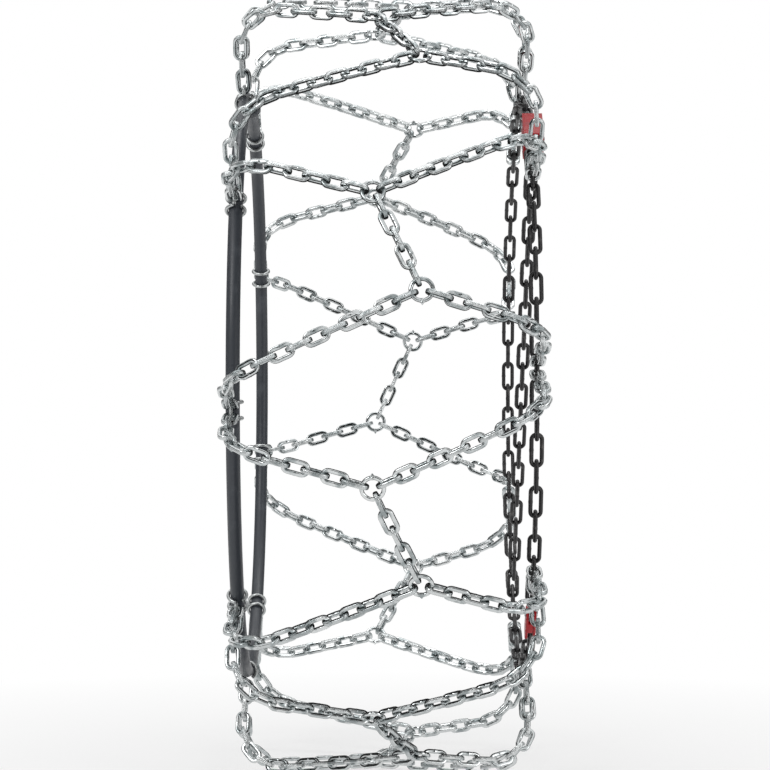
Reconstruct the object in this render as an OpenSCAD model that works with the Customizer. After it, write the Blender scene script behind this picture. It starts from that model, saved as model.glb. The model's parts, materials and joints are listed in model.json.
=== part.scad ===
// Tire snow chain: a diamond tread net of welded links and rings, carried by a closed
// inner hoop and an outer side chain. It is drawn in the shape that it has on its tyre.
// The wheel's axle is the X axis, with the outer side of the wheel at +X. An angle goes
// round the axle from the -Y side, where it is 0, over the top, where it is 90.

/* [Tyre] */
// Outer diameter of the tyre that the chain fits
tyre_d = 634; // [580:1:700]
// Width of the tyre's flat crown
crown_w = 168; // [150:1:200]
// Radius of the tyre's shoulder
shoulder_r = 28.5; // [22:0.5:36]
// Angle that the shoulder turns through, from the crown to the sidewall
shoulder_turn = 93.5; // [90:0.5:97]

/* [Tread net] */
// Wire thickness of a tread link
link_wire = 3.6; // [3:0.1:4]
// Outer width of a tread link
link_w = 12.4; // [11.8:0.1:14]
// Usual outer length of a tread link
link_len = 21.6; // [19:0.1:25]
// Outer diameter of a tread ring
ring_d = 19.6; // [19:0.1:24]
// Wire thickness of a tread ring
ring_wire = 3.2; // [2.6:0.1:3.6]
// Height of the weld nub on a tread ring
nub_h = 1.8; // [1:0.1:2.5]
// Gap between linked pieces
clear = 0.3; // [0.3:0.05:0.5]
// Place of the upper rings across the tread
upper_ring_x = -9; // [-20:1:0]
// Place of the lower rings across the tread
lower_ring_x = 27; // [15:1:40]
// Angle from a unit's start down to its upper ring
upper_ring_turn = -13.6; // [-16:0.1:-12]
// Angle from a unit's start up to its lower ring
lower_ring_turn = 12.5; // [11:0.1:14]
// Angle from a unit's start to its clip on the hoop
hoop_join_turn = -4.5; // [-6:0.1:-3]
// Angle from a unit's start to its joint on the side chain
side_join_turn = 3; // [2:0.1:4]
// Distance of two strand ends on one bar, each from the bar's middle
strand_spread = 3.8; // [3.8:0.1:4.5]

/* [Inner hoop] */
// Radius of the hoop's centre line
hoop_r = 242; // [215:1:255]
// Outer diameter of the plastic sleeve
sleeve_d = 11; // [9:0.1:12]
// Diameter of the steel core
core_d = 6; // [5:0.1:7]
// Wire thickness of a hoop clip
clip_wire = 2.8; // [2.4:0.1:3.2]
// Distance from the hoop's centre line to the clip's bar
clip_reach = 12.4; // [12:0.1:14]
// Distance between the clip's two loops
clip_loops = 12.2; // [12:0.1:14]
// Length of the coupling between the hoop's ends
coupling_l = 40; // [36:1:50]
// Outer diameter of the coupling's ferrules
ferrule_d = 13; // [12.4:0.1:14]
// Diameter of the plug's pin
plug_d = 7.4; // [6.5:0.1:8]
// Length of the lock collar
collar_l = 13; // [11:0.5:15]
// Outer diameter of the lock collar
collar_d = 17; // [16.5:0.1:19]

/* [Side chain] */
// Radius of the side chain's centre line
side_r = 240; // [215:1:250]
// Wire thickness of a side link
side_wire = 3.4; // [3:0.1:3.6]
// Outer width of a side link
side_w = 11.4; // [11:0.1:12.4]
// Width of the mouth in a hook link
hook_mouth = 3.8; // [3.6:0.1:4.2]

/* [Closing hook] */
// Thickness of each cheek
cheek_t = 2; // [1.6:0.1:2.6]
// Height of each cheek
cheek_h = 13; // [12:0.1:16]
// Diameter of the finger that the side chain hangs on
finger_d = 4; // [3.4:0.1:4]
// Diameter of the rivets
rivet_d = 3.4; // [3:0.1:3.6]

/* [Tension lock] */
// Thickness of the lock's plates
plate_t = 1.8; // [1.4:0.1:2.4]
// Depth of the lock below the side chain
lock_drop = 17; // [16:0.5:22]
// Diameter of the lock's roller
roller_d = 9; // [7:0.1:9.4]
// Distance from the middle of the side chain out to the tension chain
tension_out = 3; // [3:0.1:5]

/* [Hidden] */
// Number of equal units round the tyre, and of link pairs in the side chain
units = 9;
side_pairs = 36;

// Facets of a wire, of a bend in a wire, and of the hoop
wire_fn = 24;
bend_fn = 32;
hoop_fn = 180;

steel = "silver";
dark_steel = "dimgray";
plastic = "slategray";
red = "firebrick";

unit_turn = 360 / units;
pair_turn = 360 / side_pairs;

// The middle of the net's links lies half a link's width above the tyre.
lift = link_w / 2;
net_r = tyre_d / 2 + lift;
bend_r = shoulder_r + lift;
crown_half = crown_w / 2;
bend_len = bend_r * shoulder_turn * PI / 180;
bend_end = [crown_half + bend_r * sin(shoulder_turn),
            net_r - bend_r * (1 - cos(shoulder_turn))];

// Mean radius of each kind of bend, and the play of a wire inside it
link_bend = (link_w - link_wire) / 2;
side_bend = (side_w - side_wire) / 2;
ring_bend = (ring_d - ring_wire) / 2;
function play(bend, wire, other) = bend - wire / 2 - other / 2 - clear;
link_play = play(link_bend, link_wire, link_wire);
ring_play = play(link_bend, link_wire, ring_wire);
// Strands come to their bars aslant, which takes 0.1 mm of the play.
clip_play = play(link_bend, link_wire, clip_wire) - 0.1;
side_play = play(side_bend, side_wire, side_wire);
side_hook_play = play(link_bend, link_wire, side_wire) - 0.1;
// A flat link's own bends lie this far inside the joints that it spans.
link_inset = link_bend + link_play;
side_inset = side_bend + side_play;
link_straight = link_len - link_w;

// ---- Places on the wheel ----

function mix(a, b, t) = a + (b - a) * t;
function unit(v) = v / norm(v);
function radial(turn) = [0, -cos(turn), sin(turn)];
function tangent(turn) = [0, sin(turn), cos(turn)];
function on_wheel(x, r, turn) = [x, 0, 0] + r * radial(turn);

// The net's section at the distance s from the middle of the crown: [x, radius]
function section(s) =
    let (q = abs(s), g = sign(s),
         bend = (q - crown_half) / bend_r * 180 / PI,
         down = q - crown_half - bend_len)
    q <= crown_half ? [s, net_r]
    : down <= 0 ? [g * (crown_half + bend_r * sin(bend)), net_r - bend_r * (1 - cos(bend))]
    : [g * (bend_end[0] + down * cos(shoulder_turn)), bend_end[1] - down * sin(shoulder_turn)];
function lean(s) =
    sign(s) * max(0, min(shoulder_turn, (abs(s) - crown_half) / bend_r * 180 / PI));
function net_point(p) = let (xr = section(p[0])) on_wheel(xr[0], xr[1], p[1]);
function net_normal(p) = [sin(lean(p[0])), 0, 0] + cos(lean(p[0])) * radial(p[1]);
// Distance along the section to where the sidewall comes down to the radius r
function reach_of(r) = crown_half + bend_len + (bend_end[1] - r) / sin(shoulder_turn);

hoop_s = -reach_of(hoop_r);
hoop_x = section(hoop_s)[0];
bar_s = hoop_s + clip_reach;
bar_r = section(bar_s)[1];
side_x = section(reach_of(side_r))[0];
// A pair of side links is one parallel to the wheel and one across it. The joints lie at
// the ends of the parallel link's straight.
parallel_turn =
    (pair_turn * PI / 180 * side_r - 2 * side_inset) / 2 / side_r * 180 / PI;
across_turn = pair_turn - parallel_turn;
// Strands hook on the outer leg of a parallel side link.
leg_r = side_r * cos(parallel_turn / 2) + side_bend;
leg_s = reach_of(leg_r);

// ---- Shapes ----

// Places what it holds with its X, Y and Z along u, v and w, at p.
module place(u, v, w, p) {
    multmatrix([[u[0], v[0], w[0], p[0]],
                [u[1], v[1], w[1], p[1]],
                [u[2], v[2], w[2], p[2]]])
        children();
}

// X goes round the wheel, Y away from the axle and Z along it.
module at_turn(turn, r, x) {
    place(tangent(turn), radial(turn), [1, 0, 0], on_wheel(x, r, turn)) children();
}

module rod(a, b, d) {
    v = b - a;
    translate(a)
        rotate([0, acos(v[2] / norm(v)), atan2(v[1], v[0])])
            cylinder(d = d, h = norm(v), $fn = wire_fn);
}

module half_bend(bend, wire) {
    rotate_extrude(angle = 180, $fn = bend_fn)
        translate([bend, 0])
            circle(d = wire, $fn = wire_fn);
}

// A link in the XY plane, with the centres of its bends at X = 0 and X = straight
module chain_link(straight, w, wire) {
    bend = (w - wire) / 2;
    rotate([0, 0, 90]) half_bend(bend, wire);
    translate([straight, 0, 0]) rotate([0, 0, -90]) half_bend(bend, wire);
    for (side = [-1, 1])
        rod([0, side * bend, 0], [straight, side * bend, 0], wire);
}

// A link with an open mouth in its +Y leg. Its rounded ends are a little thinner than
// the wire, so that they meet it along a clean edge.
module hook_link(straight, w, wire) {
    bend = (w - wire) / 2;
    stub = max(0.5, straight - hook_mouth - wire);
    rotate([0, 0, 90]) half_bend(bend, wire);
    rod([0, -bend, 0], [straight, -bend, 0], wire);
    union() {
        translate([straight, 0, 0]) rotate([0, 0, -90]) half_bend(bend, wire);
        rod([straight - stub, bend, 0], [straight, bend, 0], wire);
    }
    for (x = [0, straight - stub])
        translate([x, bend, 0]) sphere(d = wire * 0.98, $fn = wire_fn);
}

// ---- Strands ----

// How a strand runs: [start, end, length before its first joint, length after its last].
// Start and end are [distance along the section, turn]. The line between them is straight
// on the unrolled net, and STEPS points measure its true length.
STEPS = 90;
function along(run, t) = [mix(run[0][0], run[1][0], t), mix(run[0][1], run[1][1], t)];
function run_point(run, t) = net_point(along(run, t));
function run_table(run) =
    [for (i = 0, l = 0; i <= STEPS;
          l = l + norm(run_point(run, (i + 1) / STEPS) - run_point(run, i / STEPS)),
          i = i + 1)
        [l, i / STEPS]];
// Links stand on edge and lie flat by turns, with an edge link at both ends, so that
// their number is odd.
function link_count(use, straight, inset) =
    2 * round((use + inset) / (2 * (straight + inset)) - 0.5) + 1;
function fitted_straight(use, n, inset) = (use - (n - 1) * inset) / n;
// Distance of joint j from the first one: edge links span their straight, and flat links
// span theirs and an inset at each end.
function joint_at(j, straight, inset) =
    ceil(j / 2) * straight + floor(j / 2) * (straight + 2 * inset);

function run_joints(run) =
    let (table = run_table(run),
         use = table[STEPS][0] - run[2] - run[3],
         n = link_count(use, link_straight, link_inset),
         straight = fitted_straight(use, n, link_inset))
    [for (j = [0:n]) along(run, lookup(run[2] + joint_at(j, straight, link_inset), table))];

// One link from the joint a to the joint b, with its edge or its flat side along up
module linked(a, b, up, edge, w, wire, inset, hook = false) {
    u = unit(b - a);
    n = unit(up - (up * u) * u);
    straight = norm(b - a) - (edge ? 0 : 2 * inset);
    if (edge)
        place(u, n, cross(u, n), a) {
            if (hook)
                hook_link(straight, w, wire);
            else
                chain_link(straight, w, wire);
        }
    else
        place(u, cross(n, u), n, a + inset * u) chain_link(straight, w, wire);
}

module strand(run, hook = false) {
    joints = run_joints(run);
    n = len(joints) - 1;
    for (i = [0:n - 1])
        linked(net_point(joints[i]), net_point(joints[i + 1]),
               net_normal(joints[i]) + net_normal(joints[i + 1]),
               i % 2 == 0, link_w, link_wire, link_inset, hook && i == n - 1);
}

function start_turn(k) = unit_turn * (k - 1);
function upper_ring(k) = [upper_ring_x, start_turn(k) + upper_ring_turn];
function lower_ring(k) = [lower_ring_x, start_turn(k) + lower_ring_turn];
ring_reach = ring_bend + ring_play;
// The strand's end on a bar, moved along the bar to its own side
function hoop_end(k, side) =
    [bar_s, start_turn(k) + hoop_join_turn + side * strand_spread / bar_r * 180 / PI];
function side_end(k, side) =
    [leg_s, start_turn(k) + side_join_turn + side * strand_spread / leg_r * 180 / PI];

module short_strand(k) {
    color(steel)
        strand([upper_ring(k + 1), lower_ring(k), ring_reach, ring_reach]);
}

module inner_strands(k) {
    color(steel) {
        strand([lower_ring(k), hoop_end(k, 1), ring_reach, clip_play]);
        strand([upper_ring(k), hoop_end(k, -1), ring_reach, clip_play]);
    }
}

module outer_strands(k) {
    color(steel) {
        strand([lower_ring(k), side_end(k, 1), ring_reach, side_hook_play], hook = true);
        strand([upper_ring(k), side_end(k, -1), ring_reach, side_hook_play], hook = true);
    }
}

// ---- Rings ----

// A welded ring with its nub on the side away from its short strand
module tread_ring(p, nub_side) {
    color(steel)
        place(nub_side * tangent(p[1]), cross(net_normal(p), nub_side * tangent(p[1])),
              net_normal(p), net_point(p)) {
            rotate_extrude($fn = 2 * bend_fn)
                translate([ring_bend, 0])
                    circle(d = ring_wire, $fn = wire_fn);
            translate([ring_bend + ring_wire * 0.3, 0, 0])
                rotate([0, 90, 0])
                    cylinder(d1 = ring_wire * 0.75, d2 = ring_wire * 0.25,
                             h = nub_h + ring_wire * 0.2, $fn = wire_fn);
        }
}

module tread_ring_upper(k) { tread_ring(upper_ring(k), 1); }
module tread_ring_lower(k) { tread_ring(lower_ring(k), -1); }

// ---- Inner hoop ----

// Half the angle that the coupling takes out of the hoop
coupling_half = asin(coupling_l / 2 / hoop_r);
coupling_turn = start_turn(3) + hoop_join_turn + unit_turn / 2;
coupling_r = hoop_r * cos(coupling_half);
sleeve_bore = core_d + 2 * clear;
// The sleeve's ends lie askew to the straight ferrules, and stop short of them.
end_gap = (clear + sleeve_d / 2 * sin(coupling_half)) / hoop_r * 180 / PI;
// The core runs on this far into each ferrule.
core_grip = 8;
grip_turn = core_grip / hoop_r * 180 / PI;

// Sweeps a section round the hoop from one turn to the other.
module hoop_sweep(from, to) {
    place(radial(from), tangent(from), [-1, 0, 0], [hoop_x, 0, 0])
        rotate_extrude(angle = to - from, $fn = hoop_fn)
            translate([hoop_r, 0])
                children();
}

module hoop_sleeve() {
    color(plastic)
        hoop_sweep(coupling_turn + coupling_half + end_gap,
                   coupling_turn + 360 - coupling_half - end_gap)
            difference() {
                circle(d = sleeve_d, $fn = wire_fn);
                circle(d = sleeve_bore, $fn = wire_fn);
            }
}

module hoop_core() {
    color(steel)
        hoop_sweep(coupling_turn + coupling_half - grip_turn,
                   coupling_turn + 360 - coupling_half + grip_turn)
            circle(d = core_d, $fn = wire_fn);
}

// The coupling's own frame: Y goes round the wheel and X away from the axle.
module at_coupling() {
    place(radial(coupling_turn), tangent(coupling_turn), [-1, 0, 0],
          on_wheel(hoop_x, coupling_r, coupling_turn))
        children();
}

// A tube or rod along Y, from one place to another
module along_y(from, to, d, bore = 0) {
    translate([0, from, 0])
        rotate([-90, 0, 0])
            difference() {
                cylinder(d = d, h = to - from, $fn = 2 * wire_fn);
                if (bore > 0)
                    translate([0, 0, -1])
                        cylinder(d = bore, h = to - from + 2, $fn = 2 * wire_fn);
            }
}

// The core curves away from the straight ferrule, so its bore has room on both sides.
grip_bore = core_d + 2.2;
// The ferrules meet this far from the coupling's middle.
seam = 4;
plug_l = 14;
collar_bore = ferrule_d + 2 * clear;
collar_travel = coupling_l / 2 + seam - collar_l / 2;

module hoop_plug_ferrule() {
    color(steel)
        at_coupling() {
            along_y(coupling_l / 2 - core_grip - 1, coupling_l / 2, ferrule_d, grip_bore);
            along_y(seam + clear, coupling_l / 2 - core_grip - 1, ferrule_d);
            along_y(seam + clear - plug_l, seam + clear + 1, plug_d);
        }
}

module hoop_socket_ferrule() {
    color(steel)
        at_coupling() {
            along_y(-coupling_l / 2, -coupling_l / 2 + core_grip + 1, ferrule_d, grip_bore);
            along_y(-coupling_l / 2 + core_grip + 1, seam - plug_l, ferrule_d);
            along_y(seam - plug_l, seam, ferrule_d, plug_d + 2 * clear);
        }
}

module hoop_lock_collar() {
    rib = 0.6;
    color(plastic)
        at_coupling()
            translate([0, seam - collar_l / 2, 0]) {
                along_y(0, collar_l, collar_d - 2 * rib, collar_bore);
                for (i = [0:3])
                    along_y(collar_l * (0.08 + 0.24 * i), collar_l * (0.2 + 0.24 * i),
                            collar_d, collar_bore);
            }
}

// A clip of bent wire: two loops round the sleeve, two legs and the bar for the strands
module hoop_clip(k) {
    turn = start_turn(k) + hoop_join_turn;
    out = unit(net_point([bar_s, turn]) - net_point([hoop_s, turn]));
    loop_r = (sleeve_d + clip_wire) / 2 + clear;
    bar_half = strand_spread + link_wire * 0.55 + clear + clip_wire / 2;
    place(out, tangent(turn), cross(out, tangent(turn)), net_point([hoop_s, turn])) {
        for (side = [-1, 1]) {
            translate([0, side * clip_loops / 2, 0])
                rotate([90, 0, 0])
                    rotate_extrude($fn = 2 * bend_fn)
                        translate([loop_r, 0])
                            circle(d = clip_wire, $fn = wire_fn);
            rod([loop_r, side * clip_loops / 2, 0], [clip_reach, side * bar_half, 0],
                clip_wire);
            translate([clip_reach, side * bar_half, 0])
                sphere(d = clip_wire, $fn = wire_fn);
        }
        rod([clip_reach, -bar_half, 0], [clip_reach, bar_half, 0], clip_wire);
    }
}

module hoop_clips() {
    color(steel)
        for (k = [1:units])
            hoop_clip(k);
}

// ---- Side chain ----

function parallel_at(i) = side_join_turn + pair_turn * i;
function across_at(i) = parallel_at(i) + pair_turn / 2;
side_straight = 2 * side_r * sin(parallel_turn / 2);
// The closing hook and the lock each take the place of one link across.
hook_pair = 30;
lock_pair = 5;

module side_link(turn, span, edge) {
    linked(on_wheel(side_x, side_r, turn - span / 2),
           on_wheel(side_x, side_r, turn + span / 2),
           radial(turn), edge, side_w, side_wire, side_inset);
}

module side_chain() {
    color(dark_steel)
        for (i = [0:side_pairs - 1]) {
            side_link(parallel_at(i), parallel_turn, true);
            if (i != hook_pair && i != lock_pair)
                side_link(across_at(i), across_turn, false);
        }
}

// Half the distance between the joints that a link across spans
joint_half = side_r * sin(across_turn / 2);
insert_r = side_r * cos(across_turn / 2);

// ---- Closing hook ----

// Its frame: X goes round the wheel, Y away from the axle and Z away from the wheel.
module at_hook() { at_turn(across_at(hook_pair), insert_r, side_x) children(); }

function pin_place(d) = joint_half - play(side_bend, side_wire, d);
cheek_gap = side_wire + 0.8;
rivet_at = pin_place(rivet_d);
finger_at = -pin_place(finger_d);
neck_d = finger_d * 0.7;
web_half = joint_half - side_w / 2 - 2 * clear;
rivet_head_h = 1.1;
rivet_head_d = 6.4;

// A plate from z0 to z1 with round ends about the rivet and the finger
module cheek(z0, z1) {
    translate([0, 0, z0])
        linear_extrude(z1 - z0) {
            translate([rivet_at, 0]) circle(d = cheek_h, $fn = 2 * wire_fn);
            translate([finger_at, 0]) circle(d = cheek_h, $fn = 2 * wire_fn);
            translate([finger_at, -cheek_h / 2]) square([rivet_at - finger_at, cheek_h]);
        }
}

module rivet_hole(fit) {
    translate([rivet_at, 0, -20]) cylinder(d = rivet_d + 2 * fit, h = 40, $fn = 2 * wire_fn);
}

gate_z = cheek_gap / 2;

module closing_hook_body() {
    head_z = gate_z + cheek_t + clear;
    color(red)
        at_hook() {
            difference() {
                cheek(-cheek_gap / 2 - cheek_t, -cheek_gap / 2);
                rivet_hole(0.05);
            }
            translate([-web_half, -cheek_h / 2, -cheek_gap / 2 - 0.5])
                cube([2 * web_half, cheek_h, cheek_gap + 0.5 - clear]);
            translate([finger_at, 0, -cheek_gap / 2 - 0.5])
                cylinder(d = finger_d, h = cheek_gap + 0.5 - clear, $fn = 2 * wire_fn);
            translate([finger_at, 0, 0])
                cylinder(d = neck_d, h = head_z + 0.5, $fn = 2 * wire_fn);
            translate([finger_at, 0, head_z])
                cylinder(d1 = finger_d, d2 = finger_d * 0.8, h = 1.2, $fn = 2 * wire_fn);
        }
}

module closing_hook_gate() {
    slot = neck_d + 2 * clear;
    swing = rivet_at - finger_at;
    color(red)
        at_hook()
            difference() {
                cheek(gate_z, gate_z + cheek_t);
                rivet_hole(0.08);
                translate([finger_at, 0, gate_z - 1])
                    cylinder(d = slot, h = cheek_t + 2, $fn = 2 * wire_fn);
                // The slot's sides are arcs about the rivet, so that the neck leaves it freely
                intersection() {
                    translate([rivet_at, 0, gate_z - 1])
                        difference() {
                            cylinder(r = swing + slot / 2, h = cheek_t + 2, $fn = 4 * wire_fn);
                            translate([0, 0, -1])
                                cylinder(r = swing - slot / 2, h = cheek_t + 4, $fn = 4 * wire_fn);
                        }
                    translate([finger_at - slot, -cheek_h, gate_z - 2])
                        cube([3 * slot, cheek_h, cheek_t + 4]);
                }
            }
}

module closing_hook_rivet() {
    low = -cheek_gap / 2 - cheek_t - 0.1;
    high = gate_z + cheek_t + 0.1;
    color(steel)
        at_hook()
            translate([rivet_at, 0, 0]) {
                translate([0, 0, low]) cylinder(d = rivet_d, h = high - low, $fn = 2 * wire_fn);
                translate([0, 0, high])
                    cylinder(d1 = rivet_head_d, d2 = rivet_head_d * 0.6, h = rivet_head_h,
                             $fn = 2 * wire_fn);
                translate([0, 0, low - rivet_head_h])
                    cylinder(d1 = rivet_head_d * 0.6, d2 = rivet_head_d, h = rivet_head_h,
                             $fn = 2 * wire_fn);
            }
}

// ---- Tension lock ----

module at_lock() { at_turn(across_at(lock_pair), insert_r, side_x) children(); }

// Room between the plates, from its wheel side to its outer side
room_w = side_w + 4 * clear;
room = [tension_out - room_w / 2, tension_out + room_w / 2];
plate_half = rivet_at + side_w / 2;
lock_top = side_w / 2 + 2 * clear;
// The roller and the lever's pin stand below the side links, beside the tension chain.
lock_pin_d = 3.4;
chain_room = side_wire / 2 + clear + 0.5;
roller_at = [-chain_room - roller_d / 2, -side_w / 2 - clear - roller_d / 2];
lever_at = [rivet_at - 1, -side_w / 2 - 4.4];
spacer_d = side_bend * 2 - side_wire + 1.4;

module lock_plate(z0) {
    corner = 3;
    translate([0, 0, z0])
        linear_extrude(plate_t)
            difference() {
                translate([-plate_half, -lock_drop])
                    square([2 * plate_half, lock_drop + lock_top + plate_t]);
                for (side = [-1, 1])
                    translate([side * plate_half, -lock_drop])
                        rotate(45)
                            square(2 * corner, center = true);
            }
}

module lock_pin(p, d, z0, z1) {
    translate([p[0], p[1], z0]) cylinder(d = d, h = z1 - z0, $fn = 2 * wire_fn);
}

module lock_housing() {
    color(red)
        at_lock() {
            lock_plate(room[0] - plate_t);
            lock_plate(room[1]);
            translate([-plate_half, lock_top, room[0] - 0.5])
                cube([2 * plate_half, plate_t, room_w + 1]);
            for (side = [-1, 1]) {
                lock_pin([side * rivet_at, 0], rivet_d, room[0] - 0.5, room[1] + 0.5);
                lock_pin([side * rivet_at, 0], spacer_d, room[0] - 0.5, -cheek_gap / 2);
                lock_pin([side * rivet_at, 0], spacer_d, cheek_gap / 2, room[1] + 0.5);
            }
            lock_pin(roller_at, lock_pin_d, room[0] - 0.5, room[1] + 0.5);
            lock_pin(lever_at, lock_pin_d, room[0] - 0.5, room[1] + 0.5);
        }
}

// A grooved roller, free on its pin
module lock_roller() {
    side_gap = 0.4;
    r = roller_d / 2;
    bore_r = lock_pin_d / 2 + 0.08;
    half = room_w / 2 - side_gap;
    color(steel)
        at_lock()
            translate([roller_at[0], roller_at[1], tension_out])
                rotate_extrude($fn = 2 * wire_fn)
                    polygon([[bore_r, -half], [r, -half], [r, -half * 0.35],
                             [r - 1.2, -half * 0.15], [r - 1.2, half * 0.15],
                             [r, half * 0.35], [r, half], [bore_r, half]]);
}

// A pawl that swings on its pin, with its nose at the chain and a thumb tab below
module lock_lever() {
    hub_d = 7.4;
    half = room_w / 2 - 0.6;
    tab_end = -lock_drop - 9;
    color(red)
        at_lock()
            translate([lever_at[0], lever_at[1], tension_out - half])
                difference() {
                    union() {
                        cylinder(d = hub_d, h = 2 * half, $fn = 2 * wire_fn);
                        linear_extrude(2 * half)
                            polygon([[chain_room - lever_at[0], -3.4],
                                     [chain_room - lever_at[0] + 1.6, 1],
                                     [0, hub_d * 0.4], [hub_d * 0.4, 0],
                                     [1, tab_end - lever_at[1]],
                                     [-2.4, tab_end - lever_at[1]], [-2.6, -3]]);
                    }
                    translate([0, 0, -1])
                        cylinder(d = lock_pin_d + 0.16, h = 2 * half + 2, $fn = 2 * wire_fn);
                }
}

// ---- Tension chain ----

// It runs from the lock across the wheel's outer face to the inner leg of a side link.
anchor_pair = 23;
tension_from = let (turn = across_at(lock_pair))
    on_wheel(side_x + tension_out, insert_r - 2 * clear, turn);
tension_to = on_wheel(side_x, leg_r - 2 * side_bend, parallel_at(anchor_pair));
tension_u = unit(tension_to - tension_from);
tension_use = norm(tension_to - tension_from) - side_play;
tension_n = link_count(tension_use, side_straight, side_inset);
tension_straight = fitted_straight(tension_use, tension_n, side_inset);

module tension_link(i, hook = false) {
    linked(tension_from + tension_u * joint_at(i, tension_straight, side_inset),
           tension_from + tension_u * joint_at(i + 1, tension_straight, side_inset),
           [1, 0, 0], i % 2 == 0, side_w, side_wire, side_inset, hook);
}

module tension_chain() {
    color(dark_steel)
        for (i = [0:tension_n - 2])
            tension_link(i);
}

module tension_end_hook() {
    color(dark_steel) tension_link(tension_n - 1, hook = true);
}

for (k = [1:units]) {
    tread_ring_upper(k);
    tread_ring_lower(k);
    short_strand(k);
    inner_strands(k);
    outer_strands(k);
}
hoop_sleeve();
hoop_core();
hoop_plug_ferrule();
hoop_socket_ferrule();
hoop_lock_collar();
hoop_clips();
side_chain();
closing_hook_body();
closing_hook_gate();
closing_hook_rivet();
lock_housing();
lock_lever();
lock_roller();
tension_chain();
tension_end_hook();
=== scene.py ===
# %% [markdown]
# # A snow chain in its fitted shape
#
# The construction model already holds every link at its real place. This lesson gives the
# chain its finish: drawn wire with a D-shaped section, welds, black and red coatings,
# moulded plastic and bent clips, each as a piece that stands for the plain one.
# Lengths are in metres, except for the lens and the map of the roller marks, which are in
# millimetres. The wheel's axle is the X axis, and -Y is the front.

import json
import math

import bmesh
import bpy
import numpy as np
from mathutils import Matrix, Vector


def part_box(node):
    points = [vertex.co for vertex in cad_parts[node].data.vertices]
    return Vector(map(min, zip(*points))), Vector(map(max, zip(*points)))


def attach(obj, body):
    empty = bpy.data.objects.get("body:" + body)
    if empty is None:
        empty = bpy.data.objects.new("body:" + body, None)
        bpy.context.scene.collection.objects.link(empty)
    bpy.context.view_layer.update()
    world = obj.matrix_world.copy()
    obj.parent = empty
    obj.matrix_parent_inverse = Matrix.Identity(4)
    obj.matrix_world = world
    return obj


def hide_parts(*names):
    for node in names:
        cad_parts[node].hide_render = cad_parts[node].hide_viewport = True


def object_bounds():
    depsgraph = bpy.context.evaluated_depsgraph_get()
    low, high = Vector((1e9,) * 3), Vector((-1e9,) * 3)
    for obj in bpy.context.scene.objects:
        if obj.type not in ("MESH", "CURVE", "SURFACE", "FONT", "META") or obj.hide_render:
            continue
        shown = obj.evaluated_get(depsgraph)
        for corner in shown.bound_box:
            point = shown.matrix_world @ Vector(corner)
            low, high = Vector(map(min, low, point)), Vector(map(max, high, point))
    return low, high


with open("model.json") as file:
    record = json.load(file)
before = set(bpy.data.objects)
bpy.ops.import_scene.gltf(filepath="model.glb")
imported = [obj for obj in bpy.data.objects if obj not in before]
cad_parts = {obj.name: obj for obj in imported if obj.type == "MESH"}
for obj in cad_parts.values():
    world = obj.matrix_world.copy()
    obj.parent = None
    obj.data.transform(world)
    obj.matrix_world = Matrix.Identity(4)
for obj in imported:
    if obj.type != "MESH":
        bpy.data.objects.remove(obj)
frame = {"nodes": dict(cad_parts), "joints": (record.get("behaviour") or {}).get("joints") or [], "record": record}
cad_low, cad_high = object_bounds()
nodes = frame["nodes"]
MM = 0.001
print("CAD box", [round(v, 4) for v in cad_low], [round(v, 4) for v in cad_high])

# %% [markdown]
# ## Camera
#
# The chain is seen square to the tread, from far enough away that the two sides of the
# net stay almost parallel. A long lens gives that.

# %% Camera
VIEW_DISTANCE = 2.26
LENS = 124.0
SENSOR_WIDTH = 36.0
camera = bpy.data.objects.new("camera", bpy.data.cameras.new("camera"))
bpy.context.scene.collection.objects.link(camera)
camera.location = (0, -VIEW_DISTANCE, 0)
camera.rotation_euler = (math.pi / 2, 0, 0)
camera.data.lens = LENS
camera.data.sensor_width = SENSOR_WIDTH
bpy.context.scene.camera = camera
print("camera", VIEW_DISTANCE, "m away, lens", LENS, "mm")

# %% [markdown]
# ## Shader groups
#
# Several finishes share the same small effects: patches of wear, a fine grain, and the
# crossed tooth marks that the forming rollers press into the wire. Each effect is built
# once, as a node group that gives out a mask or a height. The shader itself stays in
# the material, where its gloss can be set for that one finish.


# %% A node group with named sockets
def make_group(name, inputs, outputs):
    """A shader node group. Inputs are (name, kind, value), and outputs are (name, kind)."""
    group = bpy.data.node_groups.new(name, "ShaderNodeTree")
    for label, kind, value in inputs:
        socket = group.interface.new_socket(label, in_out="INPUT", socket_type=kind)
        if value is not None:
            socket.default_value = value
    for label, kind in outputs:
        group.interface.new_socket(label, in_out="OUTPUT", socket_type=kind)
    return group, group.nodes.new("NodeGroupInput"), group.nodes.new("NodeGroupOutput")


def math_node(tree, operation, a, b=None):
    """A Math node. Each of a and b is a socket or a number."""
    node = tree.nodes.new("ShaderNodeMath")
    node.operation = operation
    for i, value in enumerate((a, b)):
        if value is None:
            continue
        if isinstance(value, (int, float)):
            node.inputs[i].default_value = value
        else:
            tree.links.new(value, node.inputs[i])
    return node.outputs[0]


def ranged(tree, value, low, high, to_low=0.0, to_high=1.0):
    """A Map Range node, clamped, so that a mask has a soft edge where it is wanted."""
    node = tree.nodes.new("ShaderNodeMapRange")
    tree.links.new(value, node.inputs["Value"])
    limits = {"From Min": low, "From Max": high, "To Min": to_low, "To Max": to_high}
    for label, number in limits.items():
        node.inputs[label].default_value = number
    return node.outputs["Result"]


def noise(tree, scale, detail):
    """A Noise texture in the piece's own coordinates. The scale is a socket or a number."""
    place = tree.nodes.new("ShaderNodeTexCoord")
    node = tree.nodes.new("ShaderNodeTexNoise")
    tree.links.new(place.outputs["Object"], node.inputs["Vector"])
    node.inputs["Detail"].default_value = detail
    if isinstance(scale, (int, float)):
        node.inputs["Scale"].default_value = scale
    else:
        tree.links.new(scale, node.inputs["Scale"])
    return node.outputs["Fac"]


print("helpers for node trees are ready")

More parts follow.
